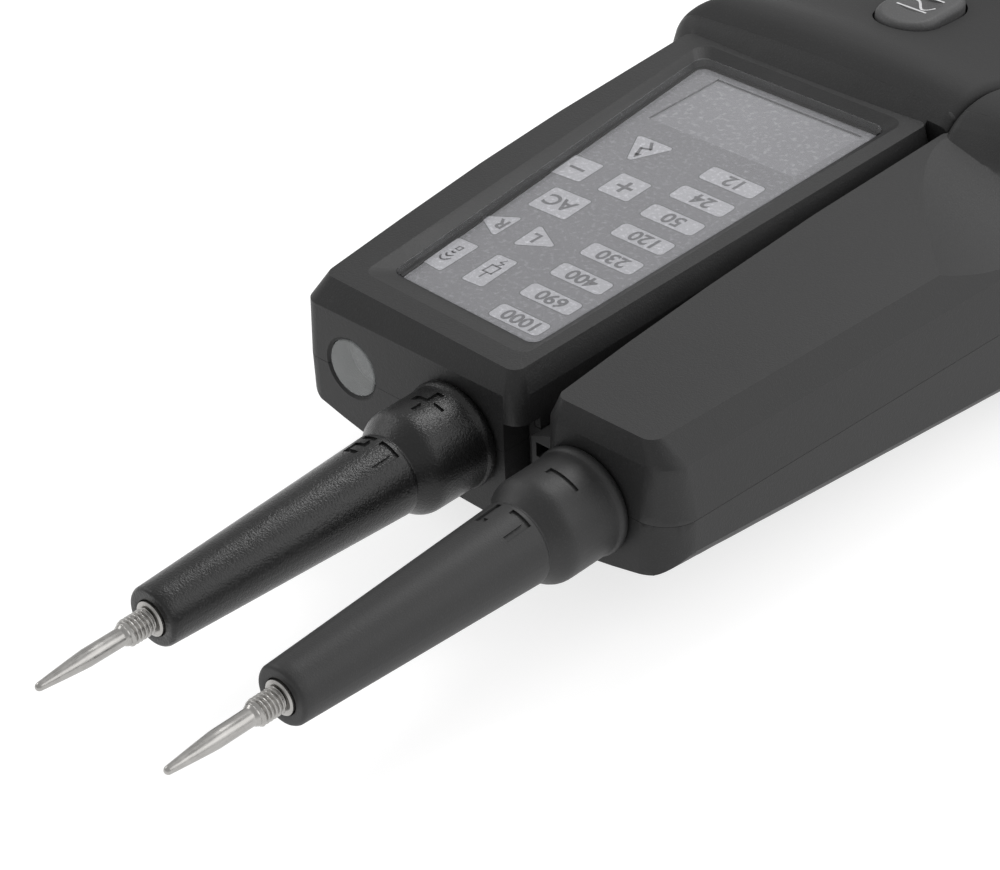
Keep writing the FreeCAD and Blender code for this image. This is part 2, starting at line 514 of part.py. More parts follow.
P["main_tact_switches"] = Part.makeCompound([tact(x, y) for x, y in BUTTONS_MAIN])
P["second_tact_switch"] = tact(*BUTTON_SEC)
P["main_load_button"] = button(BUTTONS_MAIN[0][0], BUTTONS_MAIN[0][1], 12.25, True)
P["torch_button"] = button(BUTTONS_MAIN[1][0], BUTTONS_MAIN[1][1], 12.1, False)
P["second_load_button"] = button(BUTTON_SEC[0], BUTTON_SEC[1], 12.25, True)

# ---------------------------------------------------------------- torch
P["torch_lens"] = one(turned([(58.62, TORCH_R - 0.22), (58.72, TORCH_R - 0.07), (58.9, TORCH_R), (60.52, TORCH_R), (60.52, 4.05), (61.6, 4.05)], TORCH[0], TORCH[1]))
P["torch_led"] = turned([(61.9, 0.8), (62.3, 1.8), (63.2, 2.4), (66.2, 2.4), (66.2, 2.8), (67.0, 2.8)], TORCH[0], TORCH[1])

# ---------------------------------------------------------------- second handle: shells and dock rail
up, lo = split(shell_s, cav_s, SCREWS_SEC, [], [])
nose_hole_s = rod(NECK_R + 0.05, PROBE_PITCH, 0, FRONT_Y - 2, FRONT_Y + 6)
bush_hole_s = rod(4.0, BUSH_SEC_X, 0, BUSH_Y0 - 4, END_Y + 1)
hole_s = stadium(BUTTON_SEC[0], BUTTON_SEC[1], 13.0 + 2 * FIT, 8.6 + 2 * FIT, 7.0, 18.0)
P["second_upper_shell"] = one(up.cut([nose_hole_s, bush_hole_s, hole_s]))
P["second_lower_shell"] = one(lo.cut([nose_hole_s, bush_hole_s]))
P["second_grip_sleeve"] = one(sleeve_s.cut([hole_s] + [post(HEAD_R + 0.3, a, b, -20.0, -2.0) for a, b, c, e in SCREWS_SEC]))
rail = slab(7.5, 8.3, RAIL_Y0 + 2.6, RAIL_Y1, -3.9, 3.9).fuse(slab(8.2, 15.0, RAIL_Y0 + 2.6, RAIL_Y1, -2.5, 2.5))
ramp = Part.Face(Part.makePolygon([V(10.3, RAIL_Y0, 3.0), V(10.3, RAIL_Y0, 3.5), V(15.0, RAIL_Y0, 5.4), V(15.0, RAIL_Y0, 3.0), V(10.3, RAIL_Y0, 3.0)])).extrude(V(0, RAIL_Y1 - RAIL_Y0, 0))
rail = rail.fuse([slab(10.3, 10.95, RAIL_Y0, RAIL_Y1, -5.6, 3.2), ramp, slab(10.8, 15, RAIL_Y0, RAIL_Y1, 0.4, 1.2),
                  slab(10.8, 15, RAIL_Y0, RAIL_Y1, -5.6, -4.7)]).removeSplitter()
rail = rail.cut([slab(7, 8.4, 72, 86, -6, 6)])
P["dock_rail"] = one(rail.cut(outer_s))

# ---------------------------------------------------------------- small common parts
P["main_screws"] = Part.makeCompound([screw(*q) for q in SCREWS_MAIN])
P["second_screws"] = Part.makeCompound([screw(*q) for q in SCREWS_SEC])


def bush(x):
    return turned([(BUSH_Y0, 3.6), (BUSH_Y0, 3.97), (END_Y + 0.05, 3.97), (END_Y + 0.05, 4.7), (BUSH_Y1 - 0.6, 4.7), (BUSH_Y1, 4.1)], x, 0).cut(
        rod(2.6, x, 0, BUSH_Y0 - 1, BUSH_Y1 + 1))


P["main_cable_bush"] = bush(BUSH_MAIN_X)
P["second_cable_bush"] = bush(BUSH_SEC_X)

for name, shape in P.items():
    shape = shape.copy()
    shape.translate(ORIGIN.negative())
    if not shape.isValid():
        shape.fix(0.001, 0.001, 0.01)
    bb = shape.optimalBoundingBox()
    print("%-22s valid=%s solids=%d vol=%.2f  x %.2f..%.2f y %.2f..%.2f z %.2f..%.2f" % (
        name, shape.isValid(), len(shape.Solids), shape.Volume, bb.XMin, bb.XMax, bb.YMin, bb.YMax, bb.ZMin, bb.ZMax))
    shape.exportStep("parts/%s.step" % name)
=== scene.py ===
import bpy, bmesh, json, math, random
from mathutils import Vector, Matrix


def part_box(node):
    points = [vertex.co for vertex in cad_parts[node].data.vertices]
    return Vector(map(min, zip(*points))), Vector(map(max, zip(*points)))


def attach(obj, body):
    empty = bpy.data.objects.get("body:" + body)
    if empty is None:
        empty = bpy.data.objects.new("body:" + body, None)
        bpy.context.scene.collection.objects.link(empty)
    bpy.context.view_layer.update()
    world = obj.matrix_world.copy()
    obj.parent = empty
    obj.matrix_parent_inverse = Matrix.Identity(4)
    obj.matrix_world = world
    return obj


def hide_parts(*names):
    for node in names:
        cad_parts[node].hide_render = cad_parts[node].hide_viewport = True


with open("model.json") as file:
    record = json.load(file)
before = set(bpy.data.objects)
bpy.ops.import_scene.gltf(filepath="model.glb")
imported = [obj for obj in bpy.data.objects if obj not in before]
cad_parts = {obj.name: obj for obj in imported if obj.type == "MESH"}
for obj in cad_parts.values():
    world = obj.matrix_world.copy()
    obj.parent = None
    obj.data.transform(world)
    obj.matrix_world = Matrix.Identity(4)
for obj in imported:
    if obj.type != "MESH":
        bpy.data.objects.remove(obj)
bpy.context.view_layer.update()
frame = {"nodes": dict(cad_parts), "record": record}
random.seed(7)
D = bpy.data
SC = bpy.context.scene
NODES = frame["nodes"]
MM = 0.001

# the record's mounts give the needle axes; everything below is placed from them and from the nodes' boxes
MOUNT = {m["name"]: m for m in frame["record"]["mounts"]}
PM = Vector(MOUNT["main_adaptor_stud"]["pos_m"])
PS = Vector(MOUNT["second_adaptor_stud"]["pos_m"])
TIP_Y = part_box("main_probe_tip")[0][1] + 0.48 * MM      # centre of the needle's end sphere
ORG = Vector((PM.x, TIP_Y, PM.z))                       # working origin: main needle's end


def W(x, y, z):
    """working millimetres (from the main needle's end) to metres in the frame"""
    return Vector((ORG.x + x * MM, ORG.y + y * MM, ORG.z + z * MM))


# ------------------------------------------------------------------ camera
AZ, EL, ROLL = math.radians(44.817772), math.radians(34.205414), math.radians(-2.272804)
FOC, SCALE, TX, TY = 3164.98, 10.224071, 39.503, 686.584


def make_camera():
    back = Vector((math.sin(AZ) * math.cos(EL), -math.cos(AZ) * math.cos(EL), math.sin(EL)))
    right = Vector((math.cos(AZ), math.sin(AZ), 0.0))
    up = back.cross(right)
    r2 = right * math.cos(ROLL) + up * math.sin(ROLL)
    u2 = -right * math.sin(ROLL) + up * math.cos(ROLL)
    d = FOC / SCALE
    t = Vector(((TX - 500) / FOC * d, (TY - 435) / FOC * d, d))
    # p_cam = R p + t with rows r2, -u2, -back
    c = -(r2 * t.x + (-u2) * t.y + (-back) * t.z)
    cam = D.cameras.new("camera")
    cam.sensor_fit = "HORIZONTAL"
    cam.sensor_width = 36.0
    cam.lens = FOC / 1000.0 * 36.0
    cam.clip_start, cam.clip_end = 0.01, 20
    ob = D.objects.new("camera", cam)
    SC.collection.objects.link(ob)
    m = Matrix((r2, u2, back)).transposed().to_4x4()
    m.translation = W(c.x, c.y, c.z)
    ob.matrix_world = m
    SC.camera = ob


make_camera()


# ------------------------------------------------------------------ node helpers
class Mat:
    def __init__(self, name):
        self.m = D.materials.new(name)
        self.m.use_nodes = True
        self.nt = self.m.node_tree
        self.nt.nodes.clear()
        self.out = self.nt.nodes.new("ShaderNodeOutputMaterial")
        self.tc = self.nt.nodes.new("ShaderNodeTexCoord")
        self.b = self.nt.nodes.new("ShaderNodeBsdfPrincipled")
        self.link(self.b.outputs[0], self.out.inputs[0])

    def link(self, a, b):
        self.nt.links.new(a, b)

    def n(self, kind, **kw):
        x = self.nt.nodes.new(kind)
        for k, v in kw.items():
            setattr(x, k, v)
        return x

    def noise(self, scale, detail=2.0, rough=0.5, coord=None, stretch=None):
        x = self.n("ShaderNodeTexNoise")
        x.inputs["Scale"].default_value = scale
        x.inputs["Detail"].default_value = detail
        x.inputs["Roughness"].default_value = rough
        src = coord or self.tc.outputs["Object"]
        if stretch:
            mp = self.n("ShaderNodeMapping")
            mp.inputs["Scale"].default_value = stretch
            self.link(src, mp.inputs[0])
            src = mp.outputs[0]
        self.link(src, x.inputs["Vector"])
        return x.outputs["Fac"]

    def ramp(self, fac, stops):
        x = self.n("ShaderNodeValToRGB")
        e = x.color_ramp.elements
        while len(e) > 1:
            e.remove(e[-1])
        e[0].position = stops[0][0]
        e[0].color = stops[0][1]
        for p, c in stops[1:]:
            q = e.new(p)
            q.color = c
        self.link(fac, x.inputs[0])
        return x.outputs[0]

    def math(self, op, a, b=None, c=None):
        x = self.n("ShaderNodeMath", operation=op)
        for i, v in enumerate((a, b, c)):
            if v is None:
                continue
            if isinstance(v, (int, float)):
                x.inputs[i].default_value = v
            else:
                self.link(v, x.inputs[i])
        return x.outputs[0]

    def mix(self, fac, a, b):
        x = self.n("ShaderNodeMix", data_type="RGBA")
        for s, v in ((x.inputs[0], fac), (x.inputs[6], a), (x.inputs[7], b)):
            if isinstance(v, (int, float)):
                s.default_value = v
            elif isinstance(v, tuple):
                s.default_value = v
            else:
                self.link(v, s)
        return x.outputs[2]

    def bump(self, height, strength, dist, normal=None):
        x = self.n("ShaderNodeBump")
        x.inputs["Strength"].default_value = strength
        x.inputs["Distance"].default_value = dist
        self.link(height, x.inputs["Height"])
        if normal:
            self.link(normal, x.inputs["Normal"])
        return x.outputs[0]


def grey(v, a=1.0):
    return (v, v, v * 1.015, a)


def grained(name, dark, light, r0, r1, size, depth, spec=0.5, haze=0.0, blotch=60.0, coat=0.0):
    """moulded plastic with a spark-eroded grain; size is the grain in metres"""
    m = Mat(name)
    g1 = m.noise(1.0 / size, 2.0, 0.6)
    g2 = m.noise(0.37 / size, 1.0, 0.5)
    big = m.noise(blotch, 3.0, 0.55)
    fine = m.math("ADD", m.math("MULTIPLY", g1, 0.7), m.math("MULTIPLY", g2, 0.3))
    col = m.mix(m.ramp(big, [(0.35, (0, 0, 0, 1)), (0.68, (1, 1, 1, 1))]), grey(dark), grey(light))
    col = m.mix(m.math("MULTIPLY", m.ramp(g1, [(0.52, (0, 0, 0, 1)), (0.75, (1, 1, 1, 1))]), 0.40), col, grey(light * 2.1))
    # fine dust specks
    dust = m.ramp(m.noise(900.0, 4.0, 0.75), [(0.70, (0, 0, 0, 1)), (0.78, (1, 1, 1, 1))])
    col = m.mix(m.math("MULTIPLY", dust, 0.10), col, grey(0.22))
    m.link(col, m.b.inputs["Base Color"])
    rr = m.n("ShaderNodeMapRange")
    m.link(m.math("ADD", m.math("MULTIPLY", big, 0.5), m.math("MULTIPLY", g1, 0.5)), rr.inputs[0])
    rr.inputs[1].default_value, rr.inputs[2].default_value = 0.3, 0.7
    rr.inputs[3].default_value, rr.inputs[4].default_value = r0, r1
    m.link(rr.outputs[0], m.b.inputs["Roughness"])
    m.b.inputs["Specular IOR Level"].default_value = spec
    if coat:
        m.b.inputs["Coat Weight"].default_value = coat
        m.b.inputs["Coat Roughness"].default_value = 0.3
    m.link(m.bump(fine, depth, size * 0.35), m.b.inputs["Normal"])
    return m.m


def assign(node, mat):
    ob = NODES[node]
    if not ob.material_slots:
        ob.data.materials.append(mat)
    for s in ob.material_slots:
        s.material = mat


def smooth_edges(node, width=0.0, angle=28, seg=2):
    ob = NODES[node]
    w = ob.modifiers.new("weld", "WELD")
    w.merge_threshold = 2e-6
    if width:
        b = ob.modifiers.new("edge", "BEVEL")
        b.width = width
        b.segments = seg
        b.limit_method = "ANGLE"
        b.angle_limit = math.radians(angle)
        b.use_clamp_overlap = True
        b.harden_normals = True
        b.miter_outer = "MITER_ARC"
    wn = ob.modifiers.new("normals", "WEIGHTED_NORMAL")
    wn.keep_sharp = True
    wn.weight = 60


# ------------------------------------------------------------------ geometry helpers
def piece(name, verts, faces, mat, body, replaced=(), sharp=32, ids=None, mats=None):
    me = D.meshes.new(name)
    me.from_pydata([tuple(v) for v in verts], [], faces)
    for k in (mats or [mat]):
        me.materials.append(k)
    if ids:
        me.polygons.foreach_set("material_index", ids)
    me.validate()
    me.update()
    me.shade_smooth()
    me.set_sharp_from_angle(angle=math.radians(sharp))
    ob = D.objects.new(name, me)
    SC.collection.objects.link(ob)
    if replaced:
        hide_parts(*replaced)
    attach(ob, body)
    return ob


def revolve(profile, xc, zc, seg=96, radius=None):
    """closed surface of revolution about a line along Y; profile is a list of (y, r), working millimetres"""
    verts, faces = [], []
    for y, r in profile:
        for k in range(seg):
            t = 2 * math.pi * k / seg
            rr = radius(y, r, t) if radius else r
            verts.append(W(xc + rr * math.sin(t), y, zc + rr * math.cos(t)))
    n = len(profile)
    for i in range(n - 1):
        for k in range(seg):
            a, b = i * seg + k, i * seg + (k + 1) % seg
            faces.append((a, b, b + seg, a + seg))
    a = len(verts)
    verts.append(W(xc, profile[0][0], zc))
    verts.append(W(xc, profile[-1][0], zc))
    for k in range(seg):
        faces.append((a, (k + 1) % seg, k))
        faces.append((a + 1, (n - 1) * seg + k, (n - 1) * seg + (k + 1) % seg))
    return verts, faces


def lerp_rows(profile, step):
    """the same profile with long runs divided"""
    out = [profile[0]]
    for (y0, r0), (y1, r1) in zip(profile, profile[1:]):
        d = math.hypot(y1 - y0, r1 - r0)
        n = max(1, int(math.ceil(d / step)))
        for k in range(1, n + 1):
            out.append((y0 + (y1 - y0) * k / n, r0 + (r1 - r0) * k / n))
    return out


def text_polys(body, size, weight=0.0, depth=0.0, squeeze=1.0):
    """vertices (u, v, w) and faces of a line of plain lettering, centred, in units of its size"""
    cu = D.curves.new("t", "FONT")
    cu.body = body
    cu.size = size
    cu.offset = weight
    cu.extrude = depth
    cu.resolution_u = 4
    cu.fill_mode = "BOTH"
    ob = D.objects.new("t", cu)
    SC.collection.objects.link(ob)
    bpy.context.view_layer.update()
    me = D.meshes.new_from_object(ob.evaluated_get(bpy.context.evaluated_depsgraph_get()))
    bm = bmesh.new()
    bm.from_mesh(me)
    bmesh.ops.remove_doubles(bm, verts=bm.verts, dist=size * 1e-4)
    vs = [(v.co.x * squeeze, v.co.y, v.co.z) for v in bm.verts]
    bm.verts.index_update()
    fs = [tuple(v.index for v in f.verts) for f in bm.faces]
    bm.free()
    D.meshes.remove(me)
    D.objects.remove(ob)
    D.curves.remove(cu)
    x0, x1 = min(v[0] for v in vs), max(v[0] for v in vs)
    y0, y1 = min(v[1] for v in vs), max(v[1] for v in vs)
    cx, cy = (x0 + x1) / 2, (y0 + y1) / 2
    return [(a - cx, b - cy, c) for a, b, c in vs], fs, (x1 - x0, y1 - y0)


def round_poly(pts, r, n=6):
    """polygon corners turned into arcs"""
    out = []
    k = len(pts)
    for i in range(k):
        p, a, b = Vector(pts[i]), Vector(pts[i - 1]), Vector(pts[(i + 1) % k])
        u, v = (a - p).normalized(), (b - p).normalized()
        ang = u.angle(v)
        t = min(r / math.tan(ang / 2), (a - p).length * 0.49, (b - p).length * 0.49)
        rr = t * math.tan(ang / 2)
        s, e = p + u * t, p + v * t
        c = p + (u + v).normalized() * (rr / math.sin(ang / 2))
        a0 = math.atan2(s.y - c.y, s.x - c.x)
        a1 = math.atan2(e.y - c.y, e.x - c.x)
        d = (a1 - a0 + math.pi) % (2 * math.pi) - math.pi
        for q in range(n + 1):
            w = a0 + d * q / n
            out.append((c.x + rr * math.cos(w), c.y + rr * math.sin(w)))
    return out


def offset_poly(pts, d):
    """closed outline pushed outwards by d (clockwise or not)"""
    k = len(pts)
    area = sum(pts[i - 1][0] * pts[i][1] - pts[i][0] * pts[i - 1][1] for i in range(k))
    sg = 1 if area > 0 else -1
    out = []
    for i in range(k):
        a, b = Vector(pts[i - 1]), Vector(pts[(i + 1) % k])
        t = (b - a).normalized()
        out.append((pts[i][0] + sg * d * t.y, pts[i][1] - sg * d * t.x))
    return out


class Flat:
    """collects flat shapes at a height into one mesh"""

    def __init__(self):
        self.v, self.f = [], []

    def poly(self, pts, z):
        bm = bmesh.new()
        vs = [bm.verts.new((x, y, z)) for x, y in pts]
        f = bm.faces.new(vs)
        if f.calc_area() and f.normal.z < 0:
            f.normal_flip()
        bm.normal_update()
        r = bmesh.ops.triangulate(bm, faces=bm.faces[:])
        bm.verts.index_update()
        o = len(self.v)
        self.v += [tuple(q.co) for q in bm.verts]
        for q in bm.faces:
            ix = [o + w.index for w in q.verts]
            self.f.append(tuple(ix) if q.normal.z > 0 else tuple(reversed(ix)))
        bm.free()

    def loop(self, pts, z, w):
        """line of width w round an outline"""
        a, b = offset_poly(pts, w / 2), offset_poly(pts, -w / 2)
        o = len(self.v)
        k = len(pts)
        self.v += [(x, y, z) for x, y in a] + [(x, y, z) for x, y in b]
        for i in range(k):
            j = (i + 1) % k
            self.f.append((o + i, o + j, o + k + j, o + k + i))

    def stroke(self, pts, z, w):
        """open line of width w"""
        for (x0, y0), (x1, y1) in zip(pts, pts[1:]):
            t = Vector((x1 - x0, y1 - y0)).normalized() * (w / 2)
            o = len(self.v)
            self.v += [(x0 - t.y - t.x * .6, y0 + t.x - t.y * .6, z), (x0 + t.y - t.x * .6, y0 - t.x - t.y * .6, z),
                       (x1 + t.y + t.x * .6, y1 - t.x + t.y * .6, z), (x1 - t.y + t.x * .6, y1 + t.x + t.y * .6, z)]
            self.f.append((o, o + 1, o + 2, o + 3))

    def text(self, body, x, y, z, size, weight=0.0, squeeze=1.0, turn=0.0):
        """lettering read from the grip end: right is -X and up is -Y"""
        vs, fs, wh = text_polys(body, size, weight, 0.0, squeeze)
        c, s = math.cos(turn), math.sin(turn)
        o = len(self.v)
        self.v += [(x - (a * c - b * s), y - (a * s + b * c), z) for a, b, w in vs]
        self.f += [tuple(o + i for i in f) for f in fs]

    def make(self, name, mat, body, slot):
        return piece(name, [W(*v) for v in self.v], self.f, mat, body)


# ------------------------------------------------------------------ materials
M_SHELL = grained("shell_black", 0.014, 0.019, 0.42, 0.55, 0.00020, 0.8, spec=0.33)
M_SHELL2 = grained("shell_black_second", 0.014, 0.019, 0.44, 0.58, 0.00018, 0.6, spec=0.33)
M_SLEEVE = grained("soft_touch_black", 0.014, 0.020, 0.62, 0.78, 0.00024, 0.35, spec=0.35)
M_PROBE1 = grained("probe_black_main", 0.007, 0.010, 0.25, 0.35, 0.00022, 1.2, spec=0.38)
M_PROBE2 = grained("probe_black_second", 0.015, 0.020, 0.45, 0.58, 0.00018, 0.6, spec=0.42)
M_DARK = grained("moulded_inner_black", 0.010, 0.016, 0.5, 0.65, 0.0003, 0.3)
M_BUTTON = grained("button_grey", 0.05, 0.065, 0.5, 0.62, 0.00026, 0.3, spec=0.4)
M_GUIDE = grained("guide_white", 0.45, 0.55, 0.45, 0.6, 0.0004, 0.2)
M_BOARD = grained("solder_mask", 0.02, 0.03, 0.3, 0.45, 0.0005, 0.3)


def metal(name, base, r0, r1, streak=(1, 0.04, 1), scale=9000.0, depth=0.25):
    m = Mat(name)
    m.b.inputs["Metallic"].default_value = 1.0
    s = m.noise(scale, 2.0, 0.6, stretch=streak)
    big = m.noise(700.0, 3.0, 0.6)
    col = m.mix(m.ramp(big, [(0.3, (0, 0, 0, 1)), (0.7, (1, 1, 1, 1))]), tuple(c * 0.82 for c in base) + (1,), tuple(base) + (1,))
    col = m.mix(m.math("MULTIPLY", s, 0.35), col, tuple(c * 0.6 for c in base) + (1,))
    m.link(col, m.b.inputs["Base Color"])
    rr = m.n("ShaderNodeMapRange")
    m.link(m.math("ADD", m.math("MULTIPLY", s, 0.6), m.math("MULTIPLY", big, 0.4)), rr.inputs[0])
    rr.inputs[1].default_value, rr.inputs[2].default_value = 0.3, 0.7
    rr.inputs[3].default_value, rr.inputs[4].default_value = r0, r1
    m.link(rr.outputs[0], m.b.inputs["Roughness"])
    m.link(m.bump(s, depth, 0.00003), m.b.inputs["Normal"])
    return m.m


M_NICKEL = metal("nickel_brushed", (0.44, 0.43, 0.415), 0.22, 0.38, depth=0.12)
M_STEEL = metal("screw_steel", (0.34, 0.34, 0.35), 0.3, 0.5, streak=(1, 1, 1))
M_BRASS = metal("contact_brass", (0.80, 0.62, 0.34), 0.25, 0.4)
M_SPRING = metal("spring_steel", (0.7, 0.7, 0.7), 0.2, 0.35)


def clear(name, tint, rough, fres=1.45, weight=1.0):
    """clear plastic: light passes straight through, with a glossy surface"""
    m = Mat(name)
    m.nt.nodes.remove(m.b)
    tr = m.n("ShaderNodeBsdfTransparent")
    tr.inputs[0].default_value = tint
    gl = m.n("ShaderNodeBsdfGlossy")
    gl.inputs[0].default_value = (1, 1, 1, 1)
    big = m.noise(40.0, 2.0, 0.5)
    sm = m.noise(5000.0, 2.0, 0.5)
    rr = m.n("ShaderNodeMapRange")
    m.link(big, rr.inputs[0])
    rr.inputs[1].default_value, rr.inputs[2].default_value = 0.3, 0.7
    rr.inputs[3].default_value, rr.inputs[4].default_value = rough * 0.7, rough * 1.4
    m.link(rr.outputs[0], gl.inputs["Roughness"])
    m.link(m.bump(sm, 0.03, 0.00002), gl.inputs["Normal"])
    # the same reflection from both sides, so nothing is trapped inside the thin plate
    lw = m.n("ShaderNodeLayerWeight")
    lw.inputs["Blend"].default_value = 0.5
    f0 = ((fres - 1) / (fres + 1)) ** 2
    fr = m.math("ADD", m.math("MULTIPLY", m.math("POWER", lw.outputs["Facing"], 5.0), 1 - f0), f0)
    mx = m.n("ShaderNodeMixShader")
    m.link(m.math("MULTIPLY", fr, weight), mx.inputs[0])
    m.link(tr.outputs[0], mx.inputs[1])
    m.link(gl.outputs[0], mx.inputs[2])
    m.link(mx.outputs[0], m.out.inputs[0])
    return m.m


def frosted(name):
    """lightly frosted lens: part see-through, part milky"""
    m = Mat(name)
    m.nt.nodes.remove(m.b)
    tr = m.n("ShaderNodeBsdfTransparent")
    tr.inputs[0].default_value = (0.92, 0.93, 0.93, 1)
    df = m.n("ShaderNodeBsdfDiffuse")
    m.link(m.mix(m.noise(500.0, 2.0, 0.5), (0.30, 0.31, 0.31, 1), (0.40, 0.41, 0.41, 1)), df.inputs[0])
    gl = m.n("ShaderNodeBsdfGlossy")
    gl.inputs["Roughness"].default_value = 0.16
    m.link(m.bump(m.noise(1500.0, 2.0, 0.5), 0.1, 0.00002), gl.inputs["Normal"])
    a = m.n("ShaderNodeMixShader")
    a.inputs[0].default_value = 0.42
    m.link(tr.outputs[0], a.inputs[1])
    m.link(df.outputs[0], a.inputs[2])
    lw = m.n("ShaderNodeLayerWeight")
    lw.inputs["Blend"].default_value = 0.5
    b = m.n("ShaderNodeMixShader")
    m.link(m.math("ADD", m.math("MULTIPLY", m.math("POWER", lw.outputs["Facing"], 5.0), 0.96), 0.04), b.inputs[0])
    m.link(a.outputs[0], b.inputs[1])
    m.link(gl.outputs[0], b.inputs[2])
    m.link(b.outputs[0], m.out.inputs[0])
    return m.m


def cell_wrap(name):
    """alkaline cell: steel ends, a dark wrap and a lighter band, laid out along its length"""
    m = Mat(name)
    lo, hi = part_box("aaa_cells")
    sep = m.n("ShaderNodeSeparateXYZ")
    m.link(m.tc.outputs["Object"], sep.inputs[0])
    t = m.math("DIVIDE", m.math("SUBTRACT", sep.outputs[1], lo[1]), hi[1] - lo[1])
    body = m.math("MULTIPLY", m.math("GREATER_THAN", t, 0.045), m.math("LESS_THAN", t, 0.955))
    band = m.math("MULTIPLY", m.math("GREATER_THAN", t, 0.70), body)
    grain = m.noise(2500.0, 3.0, 0.6)
    wrap = m.mix(grain, (0.012, 0.014, 0.02, 1), (0.022, 0.025, 0.035, 1))
    wrap = m.mix(band, wrap, (0.55, 0.24, 0.07, 1))
    m.link(m.mix(body, (0.6, 0.6, 0.6, 1), wrap), m.b.inputs["Base Color"])
    m.link(m.math("SUBTRACT", 1.0, body), m.b.inputs["Metallic"])
    m.link(m.math("ADD", m.math("MULTIPLY", grain, 0.12), 0.24), m.b.inputs["Roughness"])
    return m.m


M_WINDOW = clear("window_clear", (0.93, 0.93, 0.94, 1), 0.06)
M_LENS = frosted("torch_lens_frosted")
M_CELL = cell_wrap("cell_wrap")
M_LED = grained("led_body", 0.62, 0.72, 0.2, 0.3, 0.0004, 0.1)
M_PCB = Mat("board_green")
M_PCB.link(M_PCB.mix(M_PCB.ramp(M_PCB.noise(1400.0, 3.0, 0.7), [(0.46, (0, 0, 0, 1)), (0.54, (1, 1, 1, 1))]), (0.010, 0.045, 0.022, 1), (0.018, 0.075, 0.036, 1)), M_PCB.b.inputs["Base Color"])
M_PCB.link(M_PCB.math("ADD", M_PCB.math("MULTIPLY", M_PCB.noise(300.0), 0.15), 0.22), M_PCB.b.inputs["Roughness"])
M_BOARD = M_PCB.m
M_RES = grained("resistor_body", 0.20, 0.26, 0.4, 0.5, 0.0004, 0.2)
M_FILM = grained("film_grey", 0.235, 0.255, 0.35, 0.45, 0.0006, 0.05, spec=0.3)
M_LABEL = grained("label_light_grey", 0.50, 0.53, 0.35, 0.45, 0.0005, 0.04, spec=0.3)
M_LINE = grained("label_line_grey", 0.16, 0.18, 0.35, 0.45, 0.0005, 0.04, spec=0.3)
M_PRINT = grained("label_print_grey", 0.17, 0.19, 0.35, 0.45, 0.0005, 0.04, spec=0.3)
M_LCD = grained("lcd_grey", 0.30, 0.33, 0.45, 0.55, 0.0008, 0.02, spec=0.2)

MATS = {
    "shell": M_SHELL, "sleeve": M_SLEEVE, "probe_black": M_PROBE1, "nickel": M_NICKEL, "window": M_WINDOW, "film": M_FILM,
    "guide": M_GUIDE, "led": M_LED, "lcd": M_LCD, "board": M_BOARD, "component": M_DARK, "resistor": M_RES,
    "copper_alloy": M_BRASS, "lens": M_LENS, "button": M_BUTTON, "cell": M_CELL, "spring_steel": M_SPRING, "screw": M_STEEL,
    "bush": M_SLEEVE}
for sp in frame["record"]["subparts"]:
    assign(sp["node"], MATS[sp["material_slot"]])
for n in ("second_upper_shell", "second_lower_shell", "dock_rail"):
    assign(n, M_SHELL2)

for n, w in (("main_upper_shell", 0.00062), ("main_lower_shell", 0.00065), ("second_upper_shell", 0.00065), ("second_lower_shell", 0.00065)):
    smooth_edges(n, w)

# ------------------------------------------------------------------ probes
def needle(xc, name, node, body):
    prof = [(-0.478, 0.06), (-0.455, 0.16), (-0.40, 0.27), (-0.30, 0.37), (-0.17, 0.445), (0.0, 0.48)]
    prof += [(6.0 * k / 16, 0.48 + 0.52 * (1 - (1 - k / 16) ** 1.12)) for k in range(1, 17)]
    prof += [(6.6, 1.0), (10.35, 1.0), (10.5, 1.03), (10.62, 1.16), (10.8, 1.22)]
    y = 10.84
    while y < 14.12:
        prof.append((y, 1.5))
        y += 0.04
    prof += [(14.13, 1.2), (14.2, 1.0), (20.0, 1.0), (66.4, 1.0)]

    def radius(y, r, t):
        if 10.82 < y < 14.125:
            ph = ((y - 10.82) / 0.5 - t / (2 * math.pi)) % 1.0
            tri = 1 - abs(2 * ph - 1)
            v = min(1.0, max(0.0, (tri - 0.14) / 0.62))
            run = min(1.0, (y - 10.82) / 0.35, (14.125 - y) / 0.15)
            return 1.215 + 0.285 * v * max(0.15, run)
        if 5.2 < y < 10.4:
            return r * (1 - 0.006 * math.cos(6 * t))
        return r
    v, f = revolve(prof, xc, 0.0, 72, radius)
    return piece(name, v, f, M_NICKEL, body, (node,), sharp=60)


